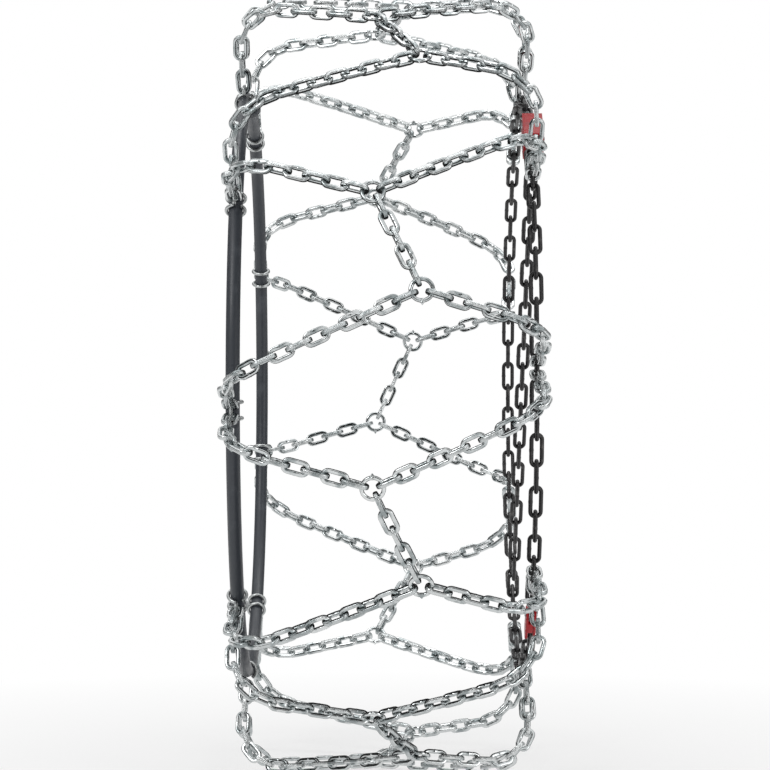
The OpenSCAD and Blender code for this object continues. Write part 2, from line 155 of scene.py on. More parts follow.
# %% [markdown]
# Handling and road grit dull a coat in patches. Painting them by hand would take a map for
# each piece, so a noise that is cut off at a level makes them: inside is 1, outside is 0,
# and a short ramp softens the border. Spread is the level, so a low one wears more.

# %% Worn patches
FLOAT = "NodeSocketFloat"
PATCH_BORDER = 0.12
wear_group, wear_in, wear_out = make_group(
    "worn_patches", [("Scale", FLOAT, 60.0), ("Spread", FLOAT, 0.5)], [("Mask", FLOAT)])
wear_noise = noise(wear_group, wear_in.outputs["Scale"], detail=6.0)
wear_edge = math_node(wear_group, "SUBTRACT", wear_noise, wear_in.outputs["Spread"])
wear_group.links.new(ranged(wear_group, wear_edge, 0.0, PATCH_BORDER), wear_out.inputs["Mask"])
print("group:", wear_group.name)

# %% [markdown]
# Edges rub bare first. The shader can't tell an edge from a flat by itself, so a softened
# piece carries a value, edge_wear, that is 1 along its rounded edges and 0 on its flats.
# Noise breaks the bare line up. Amount moves the noise, so a high one bares more.

# %% Bare edges
BARE_FROM, BARE_TO = 0.95, 1.15
edge_group, edge_in, edge_out = make_group(
    "bare_edges", [("Amount", FLOAT, 0.5), ("Scale", FLOAT, 300.0)], [("Mask", FLOAT)])
edge_value = edge_group.nodes.new("ShaderNodeAttribute")
edge_value.attribute_name = "edge_wear"
edge_noise = math_node(edge_group, "ADD", noise(edge_group, edge_in.outputs["Scale"], detail=3.0),
                       edge_in.outputs["Amount"])
edge_broken = ranged(edge_group, edge_noise, BARE_FROM, BARE_TO)
edge_mask = math_node(edge_group, "MULTIPLY", edge_value.outputs["Fac"], edge_broken)
edge_group.links.new(edge_mask, edge_out.inputs["Mask"])
print("group:", edge_group.name)

# %% [markdown]
# No coat or plating is quite smooth. Two noises, one fine and one coarse, add up to a
# height. A material feeds it to a Bump node, and often to its roughness too.

# %% Fine grain
grain_group, grain_in, grain_out = make_group(
    "fine_grain", [("Scale", FLOAT, 900.0), ("Coarse", FLOAT, 120.0)], [("Height", FLOAT)])
grain_fine = noise(grain_group, grain_in.outputs["Scale"], detail=2.0)
grain_coarse = noise(grain_group, grain_in.outputs["Coarse"], detail=3.0)
grain_height = math_node(grain_group, "ADD", grain_fine, grain_coarse)
grain_group.links.new(grain_height, grain_out.inputs["Height"])
print("group:", grain_group.name)

# %% [markdown]
# The rollers that bend each link leave crossed tooth marks on its outer face. The link
# mesh carries a map in millimetres: U runs along the wire, and V across it, with 0 in the
# middle of the outer face. Two sine waves at right angles in that map make the marks.

# %% Roller marks
MARK_PITCH = 0.95
MARK_HALF_WIDTH = 1.3
MARK_FADE = 0.3
marks_group, _, marks_out = make_group("roller_marks", [], [("Height", FLOAT), ("Mask", FLOAT)])
marks_map = marks_group.nodes.new("ShaderNodeUVMap")
marks_map.uv_map = "wire_map"
marks_split = marks_group.nodes.new("ShaderNodeSeparateXYZ")
marks_group.links.new(marks_map.outputs["UV"], marks_split.inputs["Vector"])
along_wire, across_wire = marks_split.outputs["X"], marks_split.outputs["Y"]
wave = 2 * math.pi / MARK_PITCH / math.sqrt(2)
diagonals = []
for sign in (1, -1):
    lean = math_node(marks_group, "MULTIPLY", across_wire, float(sign))
    angle = math_node(marks_group, "MULTIPLY", math_node(marks_group, "ADD", along_wire, lean), wave)
    diagonals.append(math_node(marks_group, "SINE", angle))
teeth = math_node(marks_group, "MULTIPLY", *diagonals)
marks_width = math_node(marks_group, "ABSOLUTE", across_wire)
marks_mask = ranged(marks_group, marks_width, MARK_HALF_WIDTH - MARK_FADE, MARK_HALF_WIDTH,
                    to_low=1.0, to_high=0.0)
marks_height = math_node(marks_group, "MULTIPLY", teeth, marks_mask)
marks_group.links.new(marks_height, marks_out.inputs["Height"])
marks_group.links.new(marks_mask, marks_out.inputs["Mask"])
print("group:", marks_group.name, "pitch", MARK_PITCH, "mm")

# %% [markdown]
# ## Finishes
#
# The net is zinc-plated steel. The plating is bright but never a mirror: its roughness
# drifts, and each link has its own tint, from a cool grey to a paler one. A metal's colour
# is the colour of its reflections, so Base Color and Roughness carry the whole look.


# %% A material with its shader
def new_material(name, metallic, roughness, colour):
    """A material with one Principled shader, its node tree and that shader."""
    material = bpy.data.materials.new(name)
    material.use_nodes = True
    shader = material.node_tree.nodes["Principled BSDF"]
    shader.inputs["Metallic"].default_value = metallic
    shader.inputs["Roughness"].default_value = roughness
    shader.inputs["Base Color"].default_value = (*colour, 1)
    material.diffuse_color = (*colour, 1)
    return material, material.node_tree, shader


def use_group(tree, group, **values):
    """A shared effect in this material, with its own values."""
    node = tree.nodes.new("ShaderNodeGroup")
    node.node_tree = group
    for label, number in values.items():
        node.inputs[label.capitalize()].default_value = number
    return node


# A Mix node has its sockets once for each kind of value. These are the colour ones.
COLOUR_A, COLOUR_B, COLOUR_RESULT = 6, 7, 2


def mixed(tree, factor, a, b):
    """A colour mix. Each of a and b is a colour or a socket."""
    node = tree.nodes.new("ShaderNodeMix")
    node.data_type = "RGBA"
    tree.links.new(factor, node.inputs["Factor"])
    for place, value in ((COLOUR_A, a), (COLOUR_B, b)):
        if isinstance(value, tuple):
            node.inputs[place].default_value = (*value, 1)
        else:
            tree.links.new(value, node.inputs[place])
    return node.outputs[COLOUR_RESULT]


def add_bump(tree, shader, height, distance):
    """Bumps on the surface, as high as the distance where the height is 1."""
    bump = tree.nodes.new("ShaderNodeBump")
    bump.inputs["Distance"].default_value = distance
    bump.inputs["Strength"].default_value = 1.0
    tree.links.new(height, bump.inputs["Height"])
    tree.links.new(bump.outputs["Normal"], shader.inputs["Normal"])


# The grain's height is the sum of two noises, and mostly stays between these two.
GRAIN_LOW, GRAIN_HIGH = 0.7, 1.3


def grain_roughness(tree, shader, grain, low, high):
    """A roughness that follows the grain, from low in its dips to high on its tops."""
    rough = ranged(tree, grain.outputs["Height"], GRAIN_LOW, GRAIN_HIGH, low, high)
    tree.links.new(rough, shader.inputs["Roughness"])


print("material helpers are ready")


# %% Bright zinc
def make_zinc():
    """Bright plating, with its own tint on each link and painted shade in the dips of the roller marks."""
    material, tree, shader = new_material("bright_zinc", 1.0, 0.2, (0.44, 0.46, 0.465))
    tint = tree.nodes.new("ShaderNodeAttribute")
    tint.attribute_name = "link_tint"
    wear = use_group(tree, wear_group, scale=90.0, spread=0.5)
    marks = use_group(tree, marks_group)
    grain = use_group(tree, grain_group, scale=1500.0, coarse=260.0)
    plated = mixed(tree, tint.outputs["Fac"], (0.54, 0.57, 0.575), (0.72, 0.74, 0.74))
    dulled = mixed(tree, wear.outputs["Mask"], plated, (0.33, 0.365, 0.37))
    # Painted shade: the dips of the roller marks are darkened towards near black, as if shade fell in them.
    painted_mark_shade = ranged(tree, marks.outputs["Height"], -0.9, -0.1, to_low=0.5, to_high=0.0)
    tree.links.new(mixed(tree, painted_mark_shade, dulled, (0.1, 0.115, 0.12)), shader.inputs["Base Color"])
    drift = ranged(tree, noise(tree, 140.0, detail=3.0), 0.35, 0.65, to_low=0.06, to_high=0.17)
    duller = math_node(tree, "MULTIPLY", wear.outputs["Mask"], 0.08)
    tree.links.new(math_node(tree, "ADD", drift, duller), shader.inputs["Roughness"])
    tooth_height = math_node(tree, "MULTIPLY", marks.outputs["Height"], 0.8)
    grain_part = math_node(tree, "MULTIPLY", grain.outputs["Height"], 0.12)
    add_bump(tree, shader, math_node(tree, "ADD", tooth_height, grain_part), 0.08 * MM)
    return material


zinc = make_zinc()
print("finish:", zinc.name)

# %% [markdown]
# The side chain is blackened: a thin dark coat that rubs through to grey steel where the
# links bear on each other. The coat is a dielectric over metal, so Metallic itself is
# mixed by the wear mask.


# %% Black side chain
def make_black():
    """A thin black coat, rubbed through to grey steel in patches."""
    material, tree, shader = new_material("blackened_steel", 0.6, 0.38, (0.03, 0.032, 0.035))
    wear = use_group(tree, wear_group, scale=130.0, spread=0.58)
    grain = use_group(tree, grain_group, scale=1300.0, coarse=240.0)
    colour = mixed(tree, wear.outputs["Mask"], (0.028, 0.027, 0.028), (0.12, 0.117, 0.115))
    tree.links.new(colour, shader.inputs["Base Color"])
    tree.links.new(ranged(tree, wear.outputs["Mask"], 0.0, 1.0, 0.3, 0.9), shader.inputs["Metallic"])
    grain_roughness(tree, shader, grain, 0.24, 0.36)
    add_bump(tree, shader, grain.outputs["Height"], 0.04 * MM)
    return material


black = make_black()
print("finish:", black.name)

# %% [markdown]
# The hoop's sleeve is an extruded plastic tube, satin and blue-grey, and a little paler
# where it is rubbed. The closing hook and the lock carry red powder coat, which is thick,
# a little pebbled, and chipped along its edges.


# %% Sleeve plastic and red coat
SLEEVE_GREY = (0.04, 0.046, 0.056)
COAT_RED = (0.4, 0.006, 0.011)


def make_sleeve_plastic():
    """Satin grey plastic, a little paler in patches and along its edges."""
    material, tree, shader = new_material("hoop_plastic", 0.0, 0.4, SLEEVE_GREY)
    grain = use_group(tree, grain_group, scale=1100.0, coarse=70.0)
    wear = use_group(tree, wear_group, scale=45.0, spread=0.56)
    edges = use_group(tree, edge_group, amount=0.5, scale=500.0)
    satin = mixed(tree, wear.outputs["Mask"], SLEEVE_GREY, (0.062, 0.07, 0.082))
    rubbed = mixed(tree, edges.outputs["Mask"], satin, (0.12, 0.13, 0.14))
    tree.links.new(rubbed, shader.inputs["Base Color"])
    grain_roughness(tree, shader, grain, 0.32, 0.5)
    add_bump(tree, shader, grain.outputs["Height"], 0.05 * MM)
    return material


def make_red():
    """Red powder coat, chipped to bare metal along its edges."""
    material, tree, shader = new_material("red_powder_coat", 0.0, 0.34, COAT_RED)
    edges = use_group(tree, edge_group, amount=0.48, scale=420.0)
    grain = use_group(tree, grain_group, scale=1400.0, coarse=420.0)
    wear = use_group(tree, wear_group, scale=70.0, spread=0.55)
    coat = mixed(tree, wear.outputs["Mask"], COAT_RED, (0.3, 0.006, 0.011))
    chipped = mixed(tree, edges.outputs["Mask"], coat, (0.5, 0.5, 0.5))
    tree.links.new(chipped, shader.inputs["Base Color"])
    tree.links.new(edges.outputs["Mask"], shader.inputs["Metallic"])
    grain_roughness(tree, shader, grain, 0.28, 0.44)
    shader.inputs["Specular IOR Level"].default_value = 0.25
    add_bump(tree, shader, grain.outputs["Height"], 0.09 * MM)
    return material


sleeve_plastic = make_sleeve_plastic()
red_coat = make_red()
print("finishes:", sleeve_plastic.name, red_coat.name)

# %% [markdown]
# The ferrules, the rivet, the roller, the clips and the core are plain steel. They differ
# only in their grey, their gloss and the size of their grain, so one function makes all
# three finishes. The worn patches are the same grey, darkened.

# %% Turned and drawn steel
DARKER = 0.72


def make_plain_steel(name, colour, rough_low, rough_high, scale):
    """Steel with a fine grain and darker patches."""
    material, tree, shader = new_material(name, 1.0, rough_low, colour)
    grain = use_group(tree, grain_group, scale=scale, coarse=scale / 5)
    wear = use_group(tree, wear_group, scale=110.0, spread=0.52)
    dark = tuple(DARKER * v for v in colour)
    tree.links.new(mixed(tree, wear.outputs["Mask"], colour, dark), shader.inputs["Base Color"])
    grain_roughness(tree, shader, grain, rough_low, rough_high)
    add_bump(tree, shader, grain.outputs["Height"], 0.05 * MM)
    return material


turned_steel = make_plain_steel("turned_steel", (0.6, 0.61, 0.62), 0.22, 0.38, 1400.0)
clip_wire_steel = make_plain_steel("clip_wire_steel", (0.52, 0.54, 0.54), 0.26, 0.42, 900.0)
core_steel = make_plain_steel("core_cable_steel", (0.42, 0.42, 0.43), 0.3, 0.45, 1100.0)
print("finishes:", turned_steel.name, clip_wire_steel.name, core_steel.name)

# %% [markdown]
# ## Meshes from arrays
#
# There are about 600 links. Making each with modifiers would be slow, so the vertices
# are worked out with numpy and handed to Blender in one call. A wire is a grid: rings of
# points along its path, joined by quads.


# %% Grid to mesh
# A point of the wire map this far out, in millimetres, lies beyond the roller marks.
OFF_MARKS = 5.0


def make_piece(name, points, faces, material, slot, replaces, body, wire_map=None, tint=None):
    """A smooth mesh piece that stands for CAD nodes and rides on their body."""
    mesh = bpy.data.meshes.new(name)
    mesh.from_pydata(points.tolist(), [], faces)
    mesh.polygons.foreach_set("use_smooth", np.ones(len(mesh.polygons), bool))
    if wire_map is not None:
        layer = mesh.uv_layers.new(name="wire_map")
        layer.data.foreach_set("uv", wire_map.astype(np.float32).ravel())
    if tint is not None:
        tints = mesh.attributes.new("link_tint", "FLOAT", "POINT")
        tints.data.foreach_set("value", tint.astype(np.float32))
    mesh.materials.append(material)
    piece = bpy.data.objects.new(name, mesh)
    bpy.context.scene.collection.objects.link(piece)
    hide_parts(*replaces)
    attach(piece, body)
    return piece


def grid_quads(rings, sides, closed):
    """Quads of a tube grid, as an array of four vertex numbers each."""
    i = np.arange(rings if closed else rings - 1)[:, None]
    j = np.arange(sides)[None, :]
    i2, j2 = (i + 1) % rings, (j + 1) % sides
    return np.stack([i * sides + j, i2 * sides + j, i2 * sides + j2, i * sides + j2], -1).reshape(-1, 4)


print("mesh helpers are ready")

# %% [markdown]
# A CAD node may hold many loose pieces. To dress each link, its own place and directions
# are needed. The pieces are found by passing the smallest vertex number along the
# triangles until nothing changes. A link's three axes then come from how its surface
# spreads: most along its length, least through its thickness.


# %% Loose pieces of a node
SAME_PLACE = 2e-6


def loose_pieces(node):
    """The node's separate solids, each as (points, triangles)."""
    mesh = nodes[node].data
    points = np.zeros(len(mesh.vertices) * 3, np.float32)
    mesh.vertices.foreach_get("co", points)
    points = points.reshape(-1, 3).astype(float)
    mesh.calc_loop_triangles()
    triangles = np.zeros(len(mesh.loop_triangles) * 3, np.int32)
    mesh.loop_triangles.foreach_get("vertices", triangles)
    _, first, number = np.unique(np.round(points / SAME_PLACE).astype(np.int64), axis=0,
                                 return_index=True, return_inverse=True)
    points, triangles = points[first], number.reshape(-1)[triangles].reshape(-1, 3)
    label = np.arange(len(points))
    while True:
        low = label[triangles].min(1)
        new = label.copy()
        for corner in range(3):
            np.minimum.at(new, triangles[:, corner], low)
        new = new[new]
        if np.array_equal(new, label):
            break
        label = new
    pieces = []
    owner = label[triangles[:, 0]]
    for root in np.unique(owner):
        mine = triangles[owner == root]
        used, mine = np.unique(mine, return_inverse=True)
        pieces.append((points[used], mine.reshape(-1, 3)))
    return pieces


def is_closed_link(points, triangles):
    """A link is a loop, so its vertices, edges and faces cancel out. A hook is not."""
    return len(points) - len(triangles) / 2 < 1


def axes_of(points, triangles):
    """The centre, then the longest, middle and shortest direction, and the length."""
    corners = points[triangles]
    edge_1, edge_2 = corners[:, 1] - corners[:, 0], corners[:, 2] - corners[:, 0]
    area = np.linalg.norm(np.cross(edge_1, edge_2), axis=1)
    middles = corners.mean(1)
    centre = (middles * area[:, None]).sum(0) / area.sum()
    spread = middles - centre
    _, vectors = np.linalg.eigh((spread * area[:, None]).T @ spread)
    u, v = vectors[:, 2], vectors[:, 1]
    along = points @ u
    centre = centre + ((along.max() + along.min()) / 2 - centre @ u) * u
    return centre, u, v, np.cross(u, v), np.ptp(along)


print("loose pieces can be found")

# %% [markdown]
# ## A link
#
# The real wire isn't round. It is drawn to a D: rounded inside, where links rub, and
# flat with small corners outside, where it bites the snow. Those corners catch the light
# as thin bright lines. The weld that closes the link is a low collar in one leg.

# %% The wire's section
WIRE_SIDES = 22
CORNER_POWER = 4.5
INNER_FLAT = 0.35
FLAT_TRIM = 0.045
OUTLINE_GAIN = 1.1


def wire_section(wire, flat):
    """Points round the wire: outwards, through, and the distance round it.

    Flat 0 is round wire, and 1 is a full D. A squared circle gives the outer corners.
    """
    turn = np.linspace(-math.pi, math.pi, WIRE_SIDES, endpoint=False)
    c, s = np.cos(turn), np.sin(turn)
    corner = (np.abs(c) ** CORNER_POWER + np.abs(s) ** CORNER_POWER) ** (-1 / CORNER_POWER)
    swell = np.where(c > 0, 1 + flat * (corner - 1), 1 + INNER_FLAT * flat * (corner - 1))
    half = wire / 2 * (1 - FLAT_TRIM * flat)
    return half * swell * c, half * swell * s, turn * half * OUTLINE_GAIN


print("a wire has", WIRE_SIDES, "sides")

# %% [markdown]
# A link's path is two half turns and two straight legs. A path with fixed stations could
# be scaled, but that would flatten the bends. Here each station has a share of the
# straight, so one path fits any length. Stations stand closer together at the weld.

# %% The link's path
BEND_STEPS = 10
LEG_SHARES = (0.55, 0.25, 0.16, 0.1, 0.04, -0.04, -0.1, -0.16, -0.25, -0.55)
WELD_SPREAD = 0.13


def link_path(bend):
    """Stations round a link: (x, y, share of the straight, outward direction, swelling)."""
    stations = []
    for end in (1, -1):
        for i in range(BEND_STEPS + 1):
            a = math.radians(-90 + 180 * i / BEND_STEPS + (0 if end > 0 else 180))
            stations.append((bend * math.cos(a), bend * math.sin(a), end, math.cos(a), math.sin(a), 0))
        for share in LEG_SHARES:
            weld = math.exp(-((share / WELD_SPREAD) ** 2)) if end > 0 else 0
            stations.append((0, end * bend, end * share, 0, end, weld))
    return np.array(stations)


def link_vertices(centre, u, v, w, straight, bend, section, weld_height):
    """Vertices of one link, ring by ring, with the distance along the wire."""
    path = link_path(bend)
    x = path[:, 0] + path[:, 2] * straight / 2
    out = path[:, 3][:, None] * u + path[:, 4][:, None] * v
    middle = centre + x[:, None] * u + path[:, 1][:, None] * v
    a, b, _ = section
    swell = 1 + path[:, 5] * weld_height
    rings = (middle[:, None, :] + (swell[:, None] * a)[:, :, None] * out[:, None, :]
             + (swell[:, None] * b)[:, :, None] * w)
    length = np.concatenate([[0], np.cumsum(np.linalg.norm(np.diff(middle, axis=0), axis=1))])
    return rings.reshape(-1, 3), length


STATIONS = len(link_path(1.0))
print("a link has", STATIONS, "rings of", WIRE_SIDES, "points")

# %% [markdown]
# Now each node of links is dressed. A copy of one link at each place would be simpler, but
# the links differ in length and would all look the same. So each gets its own vertices
# and its own tint, and the strand stays one mesh. An open hook keeps its CAD shape.

# %% Dress a strand
def dress_links(node, name, width, wire, flat, material, slot, weld_height, seed):
    """Replaces a node of links by drawn-wire links, and keeps its open hooks as they are."""
    rng = np.random.default_rng(seed)
    section = wire_section(wire, flat)
    bend = (width - wire) / 2
    quads = grid_quads(STATIONS, WIRE_SIDES, True)
    step_u = np.array([0, 1, 1, 0])
    step_v = np.array([0, 0, 1, 1])
    ring_no, side_no = np.divmod(np.arange(len(quads)), WIRE_SIDES)
    all_points, all_faces, all_uv, all_tint = [], [], [], []
    base = 0
    for points, triangles in loose_pieces(node):
        tint = rng.uniform(0, 1)
        if is_closed_link(points, triangles):
            centre, u, v, w, long = axes_of(points, triangles)
            verts, length = link_vertices(centre, u, v, w, long - width, bend, section, weld_height)
            mm = np.append(length, length[-1] + (length[1] - length[0])) / MM
            across = np.append(section[2], -section[2][0]) / MM
            uv = np.stack([mm[ring_no[:, None] + step_u], across[side_no[:, None] + step_v]], -1)
            faces = quads
        else:
            verts, faces = points, triangles
            uv = np.full((len(triangles), 3, 2), OFF_MARKS)
        all_faces += (faces + base).tolist()
        all_points.append(verts)
        all_uv.append(uv.reshape(-1, 2))
        all_tint.append(np.full(len(verts), tint))
        base += len(verts)
    return make_piece(name, np.concatenate(all_points), all_faces, material, slot, [node], "net",
                      np.concatenate(all_uv), np.concatenate(all_tint))


TREAD_WIDTH, TREAD_WIRE = 12.4 * MM, 3.6 * MM
TREAD_WELD = 0.07
UNITS = 9
for k in range(1, UNITS + 1):
    for kind in ("short_strand", "inner_strands", "outer_strands"):
        dress_links(f"{kind}_{k}", f"{kind}_{k}_links", TREAD_WIDTH, TREAD_WIRE, 1.0, zinc, "zinc_steel",
                    TREAD_WELD, 10 * k + len(kind))
print("dressed", 3 * UNITS, "strands")

# %% [markdown]
# The side chain and the tension chain are longer and plainer links of round wire. They
# go through the same function, with no flat and a slightly higher weld.

# %% Side and tension chains
SIDE_WIDTH, SIDE_WIRE = 11.4 * MM, 3.4 * MM
SIDE_WELD = 0.1
DARK_CHAINS = {"side_chain": "side_chain_links", "tension_chain": "tension_chain_links",
               "tension_end_hook": "tension_end_hook_forged"}
for seed, (node, name) in enumerate(DARK_CHAINS.items(), 501):
    dress_links(node, name, SIDE_WIDTH, SIDE_WIRE, 0.0, black, "dark_steel", SIDE_WELD, seed)
print("dressed", len(DARK_CHAINS), "dark chains")

# %% [markdown]
# ## Tread rings
#
# Each ring is cut from rod, bent and butt-welded. The weld is squeezed out to a small
# point on the outside. One torus grid makes it: near the weld, its outer points are
# pulled outwards. The ring's centre and axis are those of its joint, and the weld is
# where the CAD ring reaches furthest out.

# %% A welded ring
RING_FLAT = 0.35
FINE_TURN, FINE_STEPS, COARSE_STEPS = 14, 15, 68
POINT_SPREAD, POINT_THINNING = 5.0, 0.5
COLLAR_SPREAD, COLLAR_SWELL = 8.0, 0.1
WELD_LIMIT = 0.3


def ring_frame(node):
    """The ring's centre, its axis, the direction of its weld, and its reach there."""
    joint = next(j for j in frame["record"]["behaviour"]["joints"] if j["child"] == node)
    centre, axis = np.array(joint["pos_m"]), np.array(joint["axis"])
    axis = axis / np.linalg.norm(axis)
    mesh = nodes[node].data
    points = np.array([v.co for v in mesh.vertices]) - centre
    points = points - np.outer(points @ axis, axis)
    far = points[np.linalg.norm(points, axis=1).argmax()]
    return centre, axis, far / np.linalg.norm(far), np.linalg.norm(far)


def near_weld(turns, spread):
    """A bell that is 1 at the weld. The spread is in degrees."""
    return np.exp(-((np.degrees(np.abs(turns)) / spread) ** 2)) * (np.abs(turns) < WELD_LIMIT)


def make_ring(node, mean, wire, seed):
    """A ring of rod with a butt weld, turning with its own body."""
    centre, axis, weld, reach = ring_frame(node)
    side = np.cross(axis, weld)
    fine = np.linspace(-FINE_TURN, FINE_TURN, FINE_STEPS)
    coarse = np.linspace(FINE_TURN, 360 - FINE_TURN, COARSE_STEPS)[1:-1]
    turns = np.radians(np.concatenate([fine, coarse]))
    a, b, _ = wire_section(wire, RING_FLAT)
    out = np.cos(turns)[:, None] * weld + np.sin(turns)[:, None] * side
    pinch = near_weld(turns, POINT_SPREAD)[:, None]
    collar = 1 + COLLAR_SWELL * near_weld(turns, COLLAR_SPREAD)[:, None]
    point = (reach - mean - wire / 2) * pinch * np.clip(a / (wire / 2), 0, 1) ** 3
    radial = mean + a * collar + point
    through = b * collar * (1 - POINT_THINNING * pinch * (a > 0))
    rings = centre + radial[:, :, None] * out[:, None, :] + through[:, :, None] * axis
    quads = grid_quads(len(turns), WIRE_SIDES, True)
    tint = np.full(len(turns) * WIRE_SIDES, np.random.default_rng(seed).uniform(0, 1))
    uv = np.full((len(quads) * 4, 2), OFF_MARKS)
    return make_piece(node + "_welded", rings.reshape(-1, 3), quads.tolist(), zinc, "zinc_steel",
                      [node], node, uv, tint)


RING_MEAN, RING_WIRE = 8.2 * MM, 3.2 * MM
for k in range(1, UNITS + 1):
    make_ring(f"tread_ring_upper_{k}", RING_MEAN, RING_WIRE, 700 + k)
    make_ring(f"tread_ring_lower_{k}", RING_MEAN, RING_WIRE, 800 + k)
print("made", 2 * UNITS, "welded rings")

# %% [markdown]
# ## Wires and tubes along a path
#
# The sleeve and the clips are round sections that follow a path. A frame carried along
# the path, turned as little as possible from point to point, keeps the tube from
# twisting. The ends close with a small dome.


# %% Sweep a tube
# Any direction that no path starts in will do.
FIRST_GUESS = (0.31, 0.17, 0.93)
DOME_TURNS, DOME_HEIGHT = (0.5, 1.0, 1.5), 0.35


def sweep(path, radius, sides):
    """Points and faces of a round tube with domed ends, along a path of points."""
    path = np.asarray(path, float)
    tangents = np.gradient(path, axis=0)
    tangents /= np.linalg.norm(tangents, axis=1)[:, None]
    side = np.cross(tangents[0], FIRST_GUESS)
    rings = []
    turn = np.linspace(0, 2 * math.pi, sides, endpoint=False)
    for place, t in zip(path, tangents):
        side = side - (side @ t) * t
        side /= np.linalg.norm(side)
        other = np.cross(t, side)
        rings.append(place + radius * (np.cos(turn)[:, None] * side + np.sin(turn)[:, None] * other))
    for end, sign in ((0, -1), (-1, 1)):
        centre, t, rim = path[end], tangents[end], rings[end]
        caps = [centre + (rim - centre) * math.cos(a) + sign * radius * DOME_HEIGHT * math.sin(a) * t
                for a in DOME_TURNS]
        rings = caps[::-1] + rings if end == 0 else rings + caps
    quads = grid_quads(len(rings), sides, False).tolist()
    quads.append(list(range(sides))[::-1])
    quads.append(list(range((len(rings) - 1) * sides, len(rings) * sides)))
    return np.concatenate(rings), quads


print("sweep is ready")

# %% [markdown]
# The sleeve is a tube along most of a circle, open where the coupling sits. Its circle
# comes from the CAD sleeve's box. Its two ends come from the one wide gap between the
# angles of its vertices, so the new tube starts and stops where the CAD one does.

# %% The hoop's sleeve
SLEEVE_STATIONS = 421
SLEEVE_SIDES = 28
SLEEVE_SHARE = 0.995


def wheel_turn(points):
    """The angle round the axle, from the front over the top, in radians."""
    return np.arctan2(points[:, 2], -points[:, 1])


sleeve_low, sleeve_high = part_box("hoop_sleeve")
HOOP_X = (sleeve_low.x + sleeve_high.x) / 2
SLEEVE_RADIUS = (sleeve_high.x - sleeve_low.x) / 2
HOOP_RADIUS = -sleeve_low.z - SLEEVE_RADIUS
sleeve_points = np.array([v.co for v in nodes["hoop_sleeve"].data.vertices])
ordered = np.sort(wheel_turn(sleeve_points))
gaps = np.diff(np.append(ordered, ordered[0] + 2 * math.pi))
sleeve_start = ordered[(gaps.argmax() + 1) % len(ordered)]
turns = sleeve_start + np.linspace(0, 2 * math.pi - gaps.max(), SLEEVE_STATIONS)
sleeve_path = np.stack([np.full_like(turns, HOOP_X), -HOOP_RADIUS * np.cos(turns),
                        HOOP_RADIUS * np.sin(turns)], 1)
sleeve_mesh = sweep(sleeve_path, SLEEVE_RADIUS * SLEEVE_SHARE, SLEEVE_SIDES)
make_piece("hoop_sleeve_tube", *sleeve_mesh, sleeve_plastic, "hoop_plastic", ["hoop_sleeve"], "net")
print("hoop radius", round(HOOP_RADIUS, 4), "sleeve radius", round(SLEEVE_RADIUS, 4))

# %% [markdown]
# ## Hoop clips
#
# One piece of wire makes a clip: round the sleeve, up one leg, across the bar that holds
# the strands, down the other leg and round the sleeve again. The path is laid out in the
# clip's own directions, and its corners are rounded by cutting them off twice.


# %% Bent clips
CLIP_WIRE = 2.8 * MM
CLIP_SIDES = 14
CLIP_GAP = 0.3 * MM
COIL_FROM, COIL_TO, COIL_STEPS = 318, 8, 34
TOP_DEPTH = 0.4 * MM


def rounded(path, passes):
    """Cuts the corners of a path, and keeps its ends."""
    path = np.asarray(path, float)
    for _ in range(passes):
        a, b = path[:-1], path[1:]
        cut = np.empty((2 * len(a), 3))
        cut[0::2], cut[1::2] = 0.75 * a + 0.25 * b, 0.25 * a + 0.75 * b
        path = np.concatenate([path[:1], cut[1:-1], path[-1:]])
    return path


def clip_path(points):
    """A clip's wire path, from the CAD clip's own points."""
    middle = points.mean(0)
    turn = math.atan2(middle[2], -middle[1])
    tangent = np.array([0, math.sin(turn), math.cos(turn)])
    hoop = np.array([HOOP_X, -HOOP_RADIUS * math.cos(turn), HOOP_RADIUS * math.sin(turn)])
    local = points - hoop
    across = local @ tangent
    away = local - np.outer(across, tangent)
    far_length = np.linalg.norm(away, axis=1).max()
    top = away[np.linalg.norm(away, axis=1) > far_length - TOP_DEPTH].mean(0)
    out = top / np.linalg.norm(top)
    reach = far_length - CLIP_WIRE / 2
    bar_half = np.abs(across[away @ out > reach]).max() - CLIP_WIRE / 2
    loop_r = SLEEVE_RADIUS + CLIP_GAP + CLIP_WIRE / 2
    loop_at = np.abs(across[away @ out < 0]).max() - CLIP_WIRE / 2
    w = np.cross(out, tangent)
    coil = [loop_r * (math.cos(a) * out + math.sin(a) * w) - loop_at * tangent
            for a in np.radians(np.linspace(COIL_FROM, COIL_TO, COIL_STEPS))]
    leg = [reach * out * f + loop_r * out * (1 - f) - (loop_at + (bar_half - loop_at) * f) * tangent
           for f in (0.25, 0.6, 1.0)]
    half = np.array(coil + leg)
    other = half[::-1] - 2 * np.outer(half[::-1] @ tangent, tangent)
    bar = np.array([reach * out - bar_half * f * tangent for f in (0.6, 0.2, -0.2, -0.6)])
    return rounded(np.concatenate([half, bar, other]) + hoop, 2)


clip_points, clip_faces, clip_base = [], [], 0
for points, _ in loose_pieces("hoop_clips"):
    verts, faces = sweep(clip_path(points), CLIP_WIRE / 2, CLIP_SIDES)
    clip_points.append(verts)
    clip_faces += [[i + clip_base for i in face] for face in faces]
    clip_base += len(verts)
make_piece("hoop_clips_bent", np.concatenate(clip_points), clip_faces, clip_wire_steel, "clip_steel",
           ["hoop_clips"], "net")
print("made", UNITS, "bent clips")

# %% [markdown]
# ## Stamped, cast and turned pieces
#
# The hook, the lock and the coupling have the right shape already, but a machined model
# has knife edges, which no real piece has. A copy of each node is welded together and
# its sharp edges get a small bevel, so that they catch the light. The bevel's own points
# are marked with edge_wear, for the finishes that rub bare there.

# %% Soften a node's edges
JOIN_DISTANCE = 4e-6
FLAT_ANGLE = math.radians(0.8)
SHARP_ANGLE = math.radians(32)
BEVEL_SEGMENTS = 3


